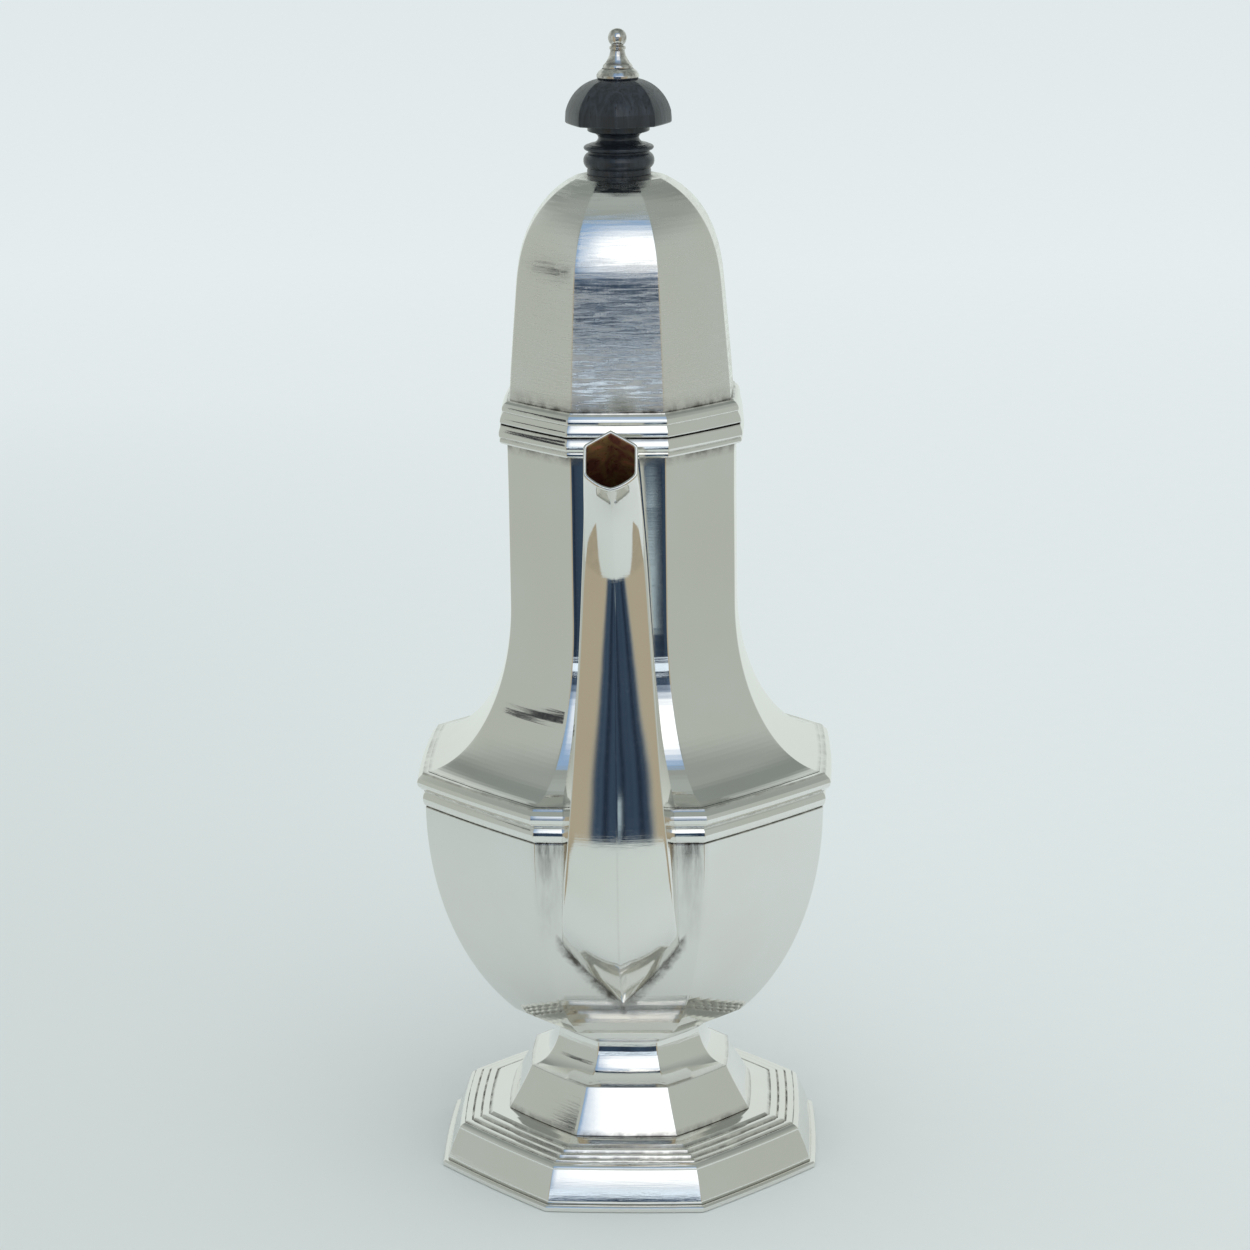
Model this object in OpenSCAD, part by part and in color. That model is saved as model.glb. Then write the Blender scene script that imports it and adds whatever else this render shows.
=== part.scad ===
// Octagonal baluster coffee pot in silver, with a hinged domed lid, an ebonised wood handle
// and an ebonised knob. The spout points to -Y, the handle to +Y, and the pot stands on z = 0
// with its axis on the Z axis. Widths of the octagonal parts are measured across flats.

/* [Foot] */
// Width of the foot's bottom flange
foot_w = 89; // [86:0.5:92]
// Height of the flange that meets the table
flange_h = 1.5; // [1.2:0.1:1.8]
// Number of raised steps on top of the foot
foot_steps = 3; // [2:1:3]

/* [Pedestal] */
// Width of the pedestal where it meets the foot
pedestal_w = 57.8; // [56:0.1:59]
// Width of the lower tier at its top ledge
tier_w = 47; // [46:0.1:48]
// Width of the waist under the bowl
waist_w = 33.6; // [32:0.1:35]

/* [Body] */
// Greatest width, over the upper bead of the belt
belt_w = 96; // [95:0.1:97]
// Height of the middle of the belt above the table
belt_z = 94; // [93.5:0.1:94.5]
// Depth of the bowl's curve below the belt
bowl_drop = 64.5; // [63:0.5:66]
// Width of the neck at its narrowest
neck_w = 52.1; // [51.5:0.1:52.6]
// Height of the parting line between the pot and its lid
rim_z = 178; // [176:0.5:180]
// Thickness of the raised sheet
wall = 1.1; // [0.9:0.1:1.3]

/* [Spout] */
// Width of the hexagonal mouth, side to side
mouth_w = 10.8; // [10:0.1:12]
// Thickness of the spout's sheet
spout_wall = 1; // [0.8:0.1:1.2]
// Radius of the strainer holes behind the spout
strainer_r = 1.5; // [1.2:0.1:1.6]

/* [Handle] */
// Height of the upper socket's axis
upper_socket_z = 155; // [153:0.5:157]
// Height of the lower socket's axis
lower_socket_z = 79; // [78:0.5:80]
// Width of the wooden grip at its middle
grip_w = 13; // [11:0.5:14]
// Radius of the pins through the sockets
pin_r = 0.9; // [0.7:0.1:1]

/* [Lid] */
// Height of the dome above its flange
dome_h = 50; // [49:0.5:50]
// Radius of the hinge pin
hinge_pin_r = 0.8; // [0.6:0.1:0.8]

/* [Knob] */
// Width of the octagonal wooden cap, corner to corner
cap_w = 24.4; // [23:0.1:25]
// Radius of the ball on the silver finial
ball_r = 2.1; // [1.9:0.1:2.1]

/* [Hidden] */

$fn = 48;
big = 200;
flat_turn = 22.5;
corner = 1 / cos(flat_turn);

// Foot levels
skirt_r = foot_w / 2 - 1.1;
step_z = 10.4;
step_rise = 0.5;
step_run = 1.9;
step_top_z = step_z + foot_steps * step_rise;
plate_r = skirt_r - 4.1 - foot_steps * step_run;
plate_z = step_top_z + 0.4;
ledge_z = 22.2;
waist_z = 31;

// Body levels
bowl_r = belt_w / 2 - 1.8;
bowl_top_z = belt_z - 4.5;
belt_low_z = belt_z - 4.2;
belt_high_z = belt_z + 4.1;
seam_r = bowl_r - 0.9;
neck_r = neck_w / 2;
shoulder_z = rim_z - 42;
rim_low_z = rim_z - 4.6;
lid_gap = 0.15;
rim_r = neck_r + 1.8;

// Strainer: the plate leans with the bowl's wall
strainer_z = 72;
strainer_w = 19;
strainer_h = 28;
strainer_pitch = 4.8;
strainer_lean = 11.5;
strainer_y = bowl_r * sqrt(1 - pow((bowl_top_z - strainer_z) / bowl_drop, 2)) - wall / 2 - 0.5;

// Lid levels
flange_z = rim_z + lid_gap;
dome_z = rim_z + 5.4;
dome_r = neck_r - 0.6;
dome_taper = 0.083;
crown_z = dome_z + 24.2;
crown_drop = 27;
crown_r = 7.4;
knob_z = dome_z + dome_h - 0.4;
stem_top_z = knob_z + 11.3;
cap_top_z = stem_top_z + 10;
stud_r = 1.5;

// Hinge
hinge_y = rim_r + 2.35;
knuckle_r = 1.7;
knuckle_w = 3.6;
knuckle_gap = 0.3;
hinge_half_w = 2.5 * knuckle_w;

// Points along an elliptical arc; angles in degrees
function arc(centre, radii, from, to, steps) =
    [for (i = [0:steps])
        let (a = from + (to - from) * i / steps)
        [centre[0] + radii[0] * cos(a), centre[1] + radii[1] * sin(a)]];

// A path moved sideways by d, to the left of its direction of travel
function unit(v) = v / norm(v);
function left_of(v) = [-v[1], v[0]];
function moved(p, d) =
    [for (i = [0:len(p) - 1])
        let (before = unit(p[max(i, 1)] - p[max(i, 1) - 1]),
             after = unit(p[min(i + 1, len(p) - 1)] - p[min(i + 1, len(p) - 1) - 1]),
             side = unit(left_of(before) + left_of(after)),
             stretch = max(0.5, side * left_of(before)))
        p[i] + side * d / stretch];
function reversed(p) = [for (i = [len(p) - 1:-1:0]) p[i]];

// Octagonal "turning": a half profile of [half width across flats, z] swept round the axis
module octagon_turn(points)
    rotate([0, 0, flat_turn])
        rotate_extrude($fn = 8)
            polygon([for (p = points) [p[0] * corner, p[1]]]);

// Octagonal prism across flats, standing on z
module octagon_prism(half_w, z0, z1)
    translate([0, 0, z0])
        rotate([0, 0, flat_turn])
            cylinder(h = z1 - z0, r = half_w * corner, $fn = 8);

// Solid between rings of points, each ring wound the same way
module loft(rings) {
    n = len(rings[0]);
    last = len(rings) - 1;
    polyhedron(
        points = [for (ring = rings) each ring],
        faces = concat(
            [[for (j = [0:n - 1]) j]],
            [for (i = [0:last - 1], j = [0:n - 1])
                [i * n + j, (i + 1) * n + j, (i + 1) * n + (j + 1) % n, i * n + (j + 1) % n]],
            [[for (j = [n - 1:-1:0]) last * n + j]]),
        convexity = 6);
}

// Foot outline: rounded skirt, raised steps, and the plate up to the pedestal
skirt = arc([skirt_r - 6.4, 4.3], [6.4, 6.4], -25, 68, 8);
steps = [for (i = [0:foot_steps - 1], p = [
    [skirt_r - 4.3 - i * step_run, step_z + i * step_rise],
    [skirt_r - 4.3 - (i + 1) * step_run + 0.15, step_z + 0.12 + i * step_rise]]) p];
foot_outline = concat(skirt, steps, [
    [plate_r - 0.2, step_top_z],
    [plate_r - 2.6, step_top_z + 0.12],
    [pedestal_w / 2 - 1, plate_z]]);

// Pedestal tiers: both flare out downwards in a hollow curve
lower_tier = [for (i = [0:6])
    let (t = i / 6)
    [tier_w / 2 + (pedestal_w - tier_w) / 2 * pow(1 - t, 1.3), plate_z + (ledge_z - plate_z) * t]];
upper_tier = concat(
    [[tier_w / 2, ledge_z]],
    reversed(arc([tier_w / 2, waist_z], [(tier_w - waist_w) / 2, waist_z - ledge_z - 0.1], 180, 262, 8)));

// Bowl outline, an ellipse that meets the waist with a flatter run
bowl_curve = arc([0, bowl_top_z], [bowl_r, bowl_drop], -56, 0, 14);
bowl_outline = concat(
    [[waist_w / 2, waist_z], [waist_w / 2 + 0.5, waist_z + 0.7]],
    bowl_curve,
    [[bowl_r, belt_low_z], [seam_r, belt_low_z], [seam_r, belt_z - 0.1]]);

// Two half-round beads with a groove between them
belt_outline = concat(
    [[seam_r, belt_low_z], [bowl_r, belt_low_z]],
    arc([bowl_r - 0.3, belt_z - 2.2], [0.9, 1.9], -70, 70, 6),
    arc([bowl_r - 0.2, belt_z + 2], [2, 1.9], -60, 60, 6),
    [[bowl_r + 0.6, belt_high_z], [seam_r, belt_high_z]]);

// Hollow shoulder up to the nearly straight neck
shoulder = arc([belt_w / 2 - 1, shoulder_z], [belt_w / 2 - 1 - neck_r, shoulder_z - belt_high_z], 266, 180, 12);
neck_outline = concat(
    [[seam_r, belt_z], [seam_r, belt_high_z]],
    shoulder,
    [[neck_r - 0.05, shoulder_z + 26], [neck_r, rim_low_z], [neck_r, rim_z - lid_gap]]);

// Mouldings round the pot's rim and round the lid, each a groove between two bands
rim_outline = concat(
    [[neck_r, rim_low_z], [rim_r - 0.5, rim_low_z]],
    arc([rim_r - 0.9, rim_low_z + 0.7], [0.8, 0.6], -60, 70, 4),
    [[rim_r - 0.5, rim_low_z + 1.4]],
    arc([rim_r - 1.2, rim_z - 1.6], [1.2, 1.45], -60, 70, 5),
    [[rim_r - 0.6, rim_z - lid_gap], [neck_r, rim_z - lid_gap]]);
flange_outline = concat(
    [[neck_r - 1.5, flange_z], [rim_r - 0.7, flange_z]],
    arc([rim_r - 1.5, flange_z + 1.3], [1.2, 1.3], -60, 70, 5),
    [[rim_r - 1.1, flange_z + 2.8]],
    arc([rim_r - 1.5, flange_z + 3.6], [0.7, 0.7], -70, 80, 4),
    [[dome_r + 0.4, dome_z], [neck_r - 1.5, dome_z]]);

// Everything inside the pot's outer surface, used to cut joints flush
envelope_outline = concat(
    [[0, waist_z + 2]],
    [for (p = bowl_outline) if (p[1] > waist_z + 2 && p[1] <= belt_low_z) p],
    [for (p = belt_outline) if (p[0] > seam_r) p],
    shoulder,
    [[neck_r, rim_low_z], [0, rim_low_z]]);

module envelope() octagon_turn(envelope_outline);

// Spout stations from the bowl to the mouth: front ridge, back ridge, width side to side
spout_stations = [
    [[-30, 43.5], [-28, 102], 26],
    [[-44, 54], [-39, 105.5], 26.4],
    [[-52.5, 67], [-43.5, 110], 25],
    [[-56, 84], [-45.3, 114.5], 22.6],
    [[-56, 102], [-45.2, 120.5], 19.8],
    [[-54, 120], [-43.4, 130], 17.6],
    [[-52.2, 138], [-41.4, 143.5], 15.6],
    [[-52, 152], [-41.2, 156], 14.2],
    [[-54.8, 163.5], [-44.6, 169.5], 12.8],
    [[-59.5, 170.6], [-51.8, 179.5], 11.7],
    [[-64.2, 175], [-58.8, 186.2], mouth_w],
];

// Hexagonal ring at a station, drawn in by an inset on every side
function spout_ring(s, inset) =
    let (along = unit(s[1] - s[0]),
         front = s[0] + along * inset * 1.15,
         back = s[1] - along * inset * 1.15,
         w = s[2] / 2 - inset,
         low = front + (back - front) / 4,
         high = back - (back - front) / 4)
    [[0, front[0], front[1]], [w, low[0], low[1]], [w, high[0], high[1]],
     [0, back[0], back[1]], [-w, high[0], high[1]], [-w, low[0], low[1]]];
function pushed(s, d) =
    let (out = left_of(unit(s[1] - s[0]))) [s[0] + out * d, s[1] + out * d, s[2]];

module spout_half(side) {
    last = len(spout_stations) - 1;
    difference() {
        intersection() {
            loft([for (s = spout_stations) spout_ring(s, 0)]);
            translate([side > 0 ? 0 : -big, -big, 0]) cube(big);
        }
        loft(concat(
            [spout_ring(pushed(spout_stations[0], -2), spout_wall)],
            [for (i = [1:last - 1]) spout_ring(spout_stations[i], spout_wall)],
            [spout_ring(pushed(spout_stations[last], 2), spout_wall)]));
        envelope();
    }
}

// Handle: octagonal section swept along a smooth centre line of [y, z, width, depth]
socket_d = 14;
socket_len = 13;
tenon_d = 11;
handle_knots = [
    [40.6, upper_socket_z, tenon_d, tenon_d],
    [50, upper_socket_z + 1.5, 12.4, 13],
    [62, upper_socket_z + 1.5, grip_w, 13.5],
    [73.5, upper_socket_z - 6, grip_w, 14],
    [80.5, upper_socket_z - 19, grip_w, 14.5],
    [82.5, upper_socket_z - 34, grip_w, 14.5],
    [80, upper_socket_z - 48, grip_w, 14],
    [74.5, upper_socket_z - 60, grip_w, 13.5],
    [68, lower_socket_z + 5.6, 12.4, 12.6],
    [62.5, lower_socket_z + 1, tenon_d + 0.4, tenon_d + 0.4],
    [60.4, lower_socket_z, tenon_d, tenon_d],
];
function smooth(a, b, c, d, t) =
    (2 * b + (c - a) * t + (2 * a - 5 * b + 4 * c - d) * t * t + (3 * b - a - 3 * c + d) * t * t * t) / 2;
function knot(i) = handle_knots[max(0, min(len(handle_knots) - 1, i))];
handle_line = [for (i = [0:len(handle_knots) - 2], t = [0, 0.5]) smooth(knot(i - 1), knot(i), knot(i + 1), knot(i + 2), t)];
handle_path = concat(
    [[neck_r + 3, upper_socket_z, tenon_d, tenon_d]],
    handle_line,
    [knot(len(handle_knots) - 1), [bowl_r + 2.5, lower_socket_z, tenon_d, tenon_d]]);
function handle_ring(i) =
    let (here = handle_path[i],
         next = handle_path[min(i + 1, len(handle_path) - 1)],
         prev = handle_path[max(i - 1, 0)],
         along = unit([next[0] - prev[0], next[1] - prev[1]]),
         out = left_of(along),
         w = here[2] / 2,
         d = here[3] / 2,
         c = 0.42)
    [for (q = [[w, c * d], [c * w, d], [-c * w, d], [-w, c * d],
               [-w, -c * d], [-c * w, -d], [c * w, -d], [w, -c * d]])
        [q[0], here[0] + out[0] * q[1], here[1] + out[1] * q[1]]];

socket_pins = [[neck_r + 9, upper_socket_z], [bowl_r + 8, lower_socket_z]];

module pin_holes(r)
    for (p = socket_pins)
        translate([0, p[0], p[1]])
            rotate([0, 90, 0]) cylinder(h = 2 * socket_d, r = r, center = true, $fn = 24);

// Octagonal sleeve on the pot's wall, with a collar at its open end
module handle_socket(start_y, z) {
    difference() {
        translate([0, 0, z]) rotate([-90, 0, 0]) {
            octagon_prism(socket_d / 2, start_y - 2, start_y + socket_len);
            octagon_prism(socket_d / 2 + 0.8, start_y + socket_len - 1.6, start_y + socket_len);
        }
        translate([0, 0, z]) rotate([-90, 0, 0])
            octagon_prism(tenon_d / 2 + 0.02, start_y + 1.2, big);
        envelope();
        pin_holes(pin_r);
    }
}

// One strip of hinge tube, from knuckle a to knuckle b counted from the left
module knuckle(i, bore)
    translate([-hinge_half_w + i * knuckle_w + knuckle_gap / 2, hinge_y, rim_z])
        rotate([0, 90, 0])
            difference() {
                cylinder(h = knuckle_w - knuckle_gap, r = knuckle_r, $fn = 40);
                translate([0, 0, -1]) cylinder(h = knuckle_w + 2, r = bore, $fn = 40);
            }

// Plate soldered to the moulding, with a bridge to each knuckle; up is +1 on the lid
module hinge_leaf(up, knuckles, bore) {
    plate_gap = 1.8;
    plate_h = 2.8;
    bridge_w = knuckle_w - knuckle_gap;
    translate([-hinge_half_w, rim_r - 0.4, rim_z + (up > 0 ? plate_gap : -plate_gap - plate_h)])
        cube([2 * hinge_half_w, 1.3, plate_h]);
    for (i = knuckles) {
        knuckle(i, bore);
        difference() {
            translate([-hinge_half_w + i * knuckle_w + knuckle_gap / 2, rim_r + 0.1,
                       rim_z + (up > 0 ? 0.4 : -plate_gap - 0.4)])
                cube([bridge_w, hinge_y - rim_r - 0.1, plate_gap]);
            translate([0, hinge_y, rim_z]) rotate([0, 90, 0])
                cylinder(h = big, r = knuckle_r - 0.4, center = true, $fn = 40);
        }
    }
}

module foot_flange() color("silver")
    difference() {
        octagon_prism(foot_w / 2, 0, flange_h);
        octagon_prism(foot_w / 2 - 4, -1, flange_h + 1);
    }

module foot() color("silver")
    octagon_turn(concat(
        foot_outline,
        [[pedestal_w / 2 - 1, plate_z - wall]],
        reversed(moved(skirt, wall))));

module pedestal_lower() color("silver")
    octagon_turn(concat(
        lower_tier,
        [[tier_w / 2 - wall, ledge_z]],
        reversed([for (p = moved(lower_tier, wall)) if (p[1] > plate_z && p[1] < ledge_z - wall) p]),
        [[pedestal_w / 2 - 1.35, plate_z]]));

module pedestal_upper() color("silver")
    octagon_turn(concat(upper_tier, [
        [waist_w / 2 - wall, waist_z],
        [waist_w / 2 - wall, ledge_z + 3],
        [tier_w / 2 - 2.5, ledge_z]]));

// Window in the bowl's front wall, where the pierced strainer sits behind the spout
module strainer_outline()
    polygon([[0, -strainer_h / 2], [strainer_w / 2, -strainer_h / 4], [strainer_w / 2, strainer_h / 4],
             [0, strainer_h / 2], [-strainer_w / 2, strainer_h / 4], [-strainer_w / 2, -strainer_h / 4]]);

module strainer_place()
    translate([0, -strainer_y, strainer_z]) rotate([90 + strainer_lean, 0, 0]) children();

module bowl() color("silver")
    difference() {
        octagon_turn(concat(
            [[0, waist_z]],
            bowl_outline,
            [[seam_r - wall, belt_z - 0.1], [seam_r - wall, bowl_top_z - 1]],
            reversed([for (p = moved(bowl_curve, wall)) if (p[1] < bowl_top_z - 3) p]),
            [[waist_w / 2, waist_z + 2.2], [0, waist_z + 2.2]]));
        strainer_place() linear_extrude(8, center = true) strainer_outline();
    }

module strainer() color("silver")
    strainer_place() linear_extrude(wall, center = true)
        difference() {
            strainer_outline();
            for (row = [-2:2], k = [-1:1])
                if (row % 2 == 0 || k < 1)
                    translate([(k + (row % 2 == 0 ? 0 : 0.5)) * strainer_pitch, row * strainer_pitch * 0.87])
                        circle(r = strainer_r, $fn = 24);
        }

module belt_moulding() color("silver")
    octagon_turn(belt_outline);

module shoulder_and_neck() color("silver")
    octagon_turn(concat(
        neck_outline,
        reversed([for (p = moved(neck_outline, wall)) if (p[0] < seam_r - 2 * wall) p]),
        [[seam_r - wall, belt_high_z - wall], [seam_r - wall, belt_z]]));

module rim_moulding() color("silver")
    octagon_turn(rim_outline);

module spout_left() color("silver") spout_half(-1);
module spout_right() color("silver") spout_half(1);

module upper_handle_socket() color("silver") handle_socket(neck_r, upper_socket_z);
module lower_handle_socket() color("silver") handle_socket(bowl_r - 0.5, lower_socket_z);

module handle() color("#1b1a1c")
    difference() {
        loft([for (i = [0:len(handle_path) - 1]) handle_ring(i)]);
        pin_holes(pin_r);
    }

module handle_pins() color("silver")
    for (p = socket_pins)
        translate([0, p[0], p[1]])
            rotate([0, 90, 0]) cylinder(h = socket_d + 0.4, r = pin_r, center = true, $fn = 24);

module body_hinge_leaf() color("silver")
    difference() {
        hinge_leaf(-1, [0, 2, 4], hinge_pin_r);
        octagon_turn(rim_outline);
    }

module lid_hinge_leaf() color("silver")
    difference() {
        hinge_leaf(1, [1, 3], hinge_pin_r + 0.05);
        octagon_turn(flange_outline);
    }

module hinge_pin() color("silver")
    translate([0, hinge_y, rim_z])
        rotate([0, 90, 0]) cylinder(h = 2 * hinge_half_w, r = hinge_pin_r, center = true, $fn = 40);

module lid_flange() color("silver")
    octagon_turn(flange_outline);

module lid_bezel() color("silver")
    difference() {
        octagon_prism(neck_r - 1.5, rim_z - 4.2, rim_z + 3);
        octagon_prism(neck_r - 2.3, rim_z - 5, rim_z + 4);
    }

// Tapering sides that close in an elliptical crown, flat under the knob
dome_outline = concat(
    [[dome_r, dome_z], [dome_r - dome_taper * (crown_z - dome_z) / 2, (dome_z + crown_z) / 2]],
    [for (i = [0:10])
        let (a = i * 6.4, z = crown_z + crown_drop * sin(a))
        [(dome_r - dome_taper * (z - dome_z)) * cos(a), z]],
    [[crown_r, knob_z]]);

module lid_dome() color("silver")
    difference() {
        octagon_turn(concat(
            dome_outline,
            [[0, knob_z], [0, knob_z - wall], [crown_r - 0.9, knob_z - wall]],
            reversed([for (p = moved(dome_outline, wall)) if (p[1] > dome_z && p[1] < knob_z - wall) p]),
            [[dome_r - wall, dome_z]]));
        cylinder(h = 2 * big, r = stud_r + 0.1, $fn = 32);
    }

// Turned stem: foot ring, torus, thin ring, waist, and the disc under the cap
module knob_stem() color("#1b1a1c")
    difference() {
        translate([0, 0, knob_z])
            rotate_extrude($fn = 64)
                polygon(concat(
                    [[0, 0], [7.2, 0], [7.2, 0.9]],
                    arc([6.3, 3], [1.7, 1.9], -60, 70, 6),
                    [[7, 5.1]],
                    arc([7, 5.9], [0.9, 0.6], -70, 80, 4),
                    arc([7, 8.1], [2.4, 1.4], 262, 98, 8),
                    [[7, 9.7], [7, stem_top_z - knob_z], [0, stem_top_z - knob_z]]));
        cylinder(h = 2 * big, r = stud_r, $fn = 32);
    }

// Octagonal umbrella cap, its corners over the middle of the lid's facets
module knob_cap() color("#1b1a1c")
    difference() {
        translate([0, 0, stem_top_z])
            rotate_extrude($fn = 8)
                polygon(concat(
                    [[0, 0], [cap_w / 2 - 0.3, 0], [cap_w / 2, 0.4], [cap_w / 2, 1.2]],
                    arc([3.2, 0.2], [cap_w / 2 - 3, 9.8], 15, 80, 8),
                    [[4.6, 10], [0, 10]]));
        cylinder(h = 2 * big, r = stud_r, $fn = 32);
    }

// Silver finial: disc, hollow cone, collar and ball
module finial() color("silver")
    difference() {
        translate([0, 0, cap_top_z])
            rotate_extrude($fn = 64)
                polygon(concat(
                    [[0, 0], [4.8, 0], [4.8, 0.7], [3.8, 1.1]],
                    arc([4.4, 5.4], [2.8, 4], 255, 185, 6),
                    [[1.8, 5.5], [1.8, 6.6], [1.3, 6.9]],
                    arc([0, 6.8 + ball_r], [ball_r, ball_r], -50, 90, 10)));
        translate([0, 0, cap_top_z - 1]) cylinder(h = 4, r = stud_r, $fn = 32);
    }

module knob_stud() color("silver")
    translate([0, 0, knob_z - 5])
        cylinder(h = cap_top_z + 3 - knob_z + 5, r = stud_r, $fn = 32);

module lid_washer() color("silver")
    translate([0, 0, knob_z - wall - 0.9])
        difference() {
            cylinder(h = 0.9, r = 4.6, $fn = 40);
            translate([0, 0, -1]) cylinder(h = 3, r = stud_r, $fn = 32);
        }

module knob_nut() color("silver")
    translate([0, 0, knob_z - wall - 3.2])
        difference() {
            cylinder(h = 2.3, r = 3.2, $fn = 6);
            translate([0, 0, -1]) cylinder(h = 5, r = stud_r, $fn = 32);
        }

foot_flange();
foot();
pedestal_lower();
pedestal_upper();
bowl();
strainer();
belt_moulding();
shoulder_and_neck();
rim_moulding();
spout_left();
spout_right();
upper_handle_socket();
lower_handle_socket();
handle();
handle_pins();
body_hinge_leaf();
hinge_pin();
lid_hinge_leaf();
lid_flange();
lid_bezel();
lid_dome();
knob_stem();
knob_cap();
finial();
knob_stud();
lid_washer();
knob_nut();
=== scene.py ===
import math

import bmesh
import bpy
from mathutils import Matrix, Vector


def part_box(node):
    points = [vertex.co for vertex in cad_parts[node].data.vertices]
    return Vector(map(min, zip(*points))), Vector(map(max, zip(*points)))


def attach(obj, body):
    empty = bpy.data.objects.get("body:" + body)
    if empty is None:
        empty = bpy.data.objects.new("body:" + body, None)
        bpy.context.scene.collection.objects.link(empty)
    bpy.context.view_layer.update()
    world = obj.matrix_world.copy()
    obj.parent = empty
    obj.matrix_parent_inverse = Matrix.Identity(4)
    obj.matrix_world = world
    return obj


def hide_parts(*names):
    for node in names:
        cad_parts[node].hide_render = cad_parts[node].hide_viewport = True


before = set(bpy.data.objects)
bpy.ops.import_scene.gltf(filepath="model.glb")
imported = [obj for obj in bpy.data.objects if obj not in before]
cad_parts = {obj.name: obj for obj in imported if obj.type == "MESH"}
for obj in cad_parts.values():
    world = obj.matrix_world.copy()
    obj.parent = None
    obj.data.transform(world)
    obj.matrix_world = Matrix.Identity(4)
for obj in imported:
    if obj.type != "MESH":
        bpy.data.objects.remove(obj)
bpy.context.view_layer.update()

# ---------------------------------------------------------------- values
# Profiles are written in millimetres as [half width across flats, height, tarnish].
MM = 0.001
SIDES = 8
TURN = math.tan(math.pi / SIDES)    # half a side over its distance from the axis
# Points along an octagon's side, from corner to corner
SIDE_COLUMNS = (-1, -0.93, -0.8, -0.6, -0.3, 0, 0.3, 0.6, 0.8, 0.93, 1)

EDGE = 0.9            # fillet on the octagon's corners
SOFT = 0.12           # rounding of profile corners
CROWN = 0.026         # how far a facet's middle stands proud, as a share of its half width
WALL = 1.1            # thickness of the silver

SILVER = (0.88, 0.872, 0.845)
TARNISH = (0.055, 0.042, 0.032)
EBONY = (0.009, 0.012, 0.017)
GRIT = 0.0000012      # depth of the finest scratches, in metres

# Paper colours at the back and at the front; the darker front colour is painted shade
PAPER_FAR = (0.85, 0.893, 0.905)
PAPER_NEAR_SHADED = (0.62, 0.672, 0.655)
AIR = (0.93, 0.955, 0.96)

# ---------------------------------------------------------------- curves


def arc(cx, cy, rx, ry, start, end, steps, tarnish=0.0):
    """Points along an elliptical arc; angles in degrees."""
    points = []
    for i in range(steps + 1):
        a = math.radians(start + (end - start) * i / steps)
        points.append((cx + rx * math.cos(a), cy + ry * math.sin(a), tarnish))
    return points


def full(points):
    """Points with a tarnish value, which is 0 where none is given."""
    return [(p[0], p[1], p[2] if len(p) > 2 else 0.0) for p in points]


def mixed(a, b, t):
    return tuple(x + (y - x) * t for x, y in zip(a, b))


def gap(a, b):
    return math.hypot(b[0] - a[0], b[1] - a[1])


def softened(outline, radius, limit=11.0):
    """Rounds the sharp corners of an open outline, and holds long runs straight with extra points."""
    points = full(outline)
    out = [points[0]]
    for before, here, after in zip(points, points[1:], points[2:]):
        a = math.atan2(here[1] - before[1], here[0] - before[0])
        b = math.atan2(after[1] - here[1], after[0] - here[0])
        bend = abs((b - a + math.pi) % (2 * math.pi) - math.pi)
        if bend < math.radians(limit):
            out.append(here)
            continue
        reach = min(radius * math.tan(bend / 2) + 0.02, 0.42 * gap(before, here), 0.42 * gap(here, after))
        start = mixed(here, before, reach / gap(before, here))
        end = mixed(here, after, reach / gap(here, after))
        for t in (0, 0.25, 0.5, 0.75, 1):
            out.append(mixed(mixed(start, here, t), mixed(here, end, t), t))
    out.append(points[-1])
    return braced(out)


def braced(points):
    """Extra points near the ends of long runs, so that smooth shading keeps them flat."""
    out = [points[0]]
    for a, b in zip(points, points[1:]):
        length = gap(a, b)
        if length > 0.9:
            share = min(0.2 / length, 0.2)
            out.append(mixed(a, b, share))
            if length > 4:
                out.append(mixed(a, b, 0.5))
            out.append(mixed(a, b, 1 - share))
        out.append(b)
    return out


def inset(points, d):
    """An outline moved sideways by d, to the left of its direction of travel."""
    out = []
    for i, p in enumerate(points):
        a = points[max(i - 1, 0)]
        b = points[min(i + 1, len(points) - 1)]
        dx, dy = b[0] - a[0], b[1] - a[1]
        length = math.hypot(dx, dy)
        out.append((p[0] - dy / length * d, p[1] + dx / length * d))
    return out


def seated(outline, node):
    """Brings an outline in millimetres onto the box of its CAD node, in metres."""
    low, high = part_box(node)
    widest = max(p[0] for p in outline)
    bottom = min(p[1] for p in outline)
    top = max(p[1] for p in outline)
    across = high[0] / widest
    up = (high[2] - low[2]) / (top - bottom)
    return [(p[0] * across, low[2] + (p[1] - bottom) * up, p[2]) for p in full(outline)]


# ---------------------------------------------------------------- rings and skins


def octagon(apothem, edge=EDGE * MM, crown=CROWN):
    """A ring of an octagon with filleted corners and gently crowned sides."""
    half = apothem * TURN
    edge = min(edge, half * 0.9)
    run = half - edge * TURN
    sag = crown * half
    tilt = math.atan(2 * sag * run / half ** 2)
    corner = (math.sin(math.pi / SIDES), -math.cos(math.pi / SIDES))
    side = [(f * run, -(apothem - sag * (f * run / half) ** 2)) for f in SIDE_COLUMNS]
    normal = (math.sin(tilt), -math.cos(tilt))
    end = side[-1]
    lean = normal[0] * corner[1] - normal[1] * corner[0]
    radius = (end[0] * corner[1] - end[1] * corner[0]) / lean
    centre = (end[0] - radius * normal[0], end[1] - radius * normal[1])
    for k in range(1, 5):
        a = tilt + (math.pi / 4 - 2 * tilt) * k / 5
        side.append((centre[0] + radius * math.sin(a), centre[1] - radius * math.cos(a)))
    ring = []
    for k in range(SIDES):
        c, s = math.cos(k * math.pi / 4), math.sin(k * math.pi / 4)
        ring += [(x * c - y * s, x * s + y * c) for x, y in side]
    return ring


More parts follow.
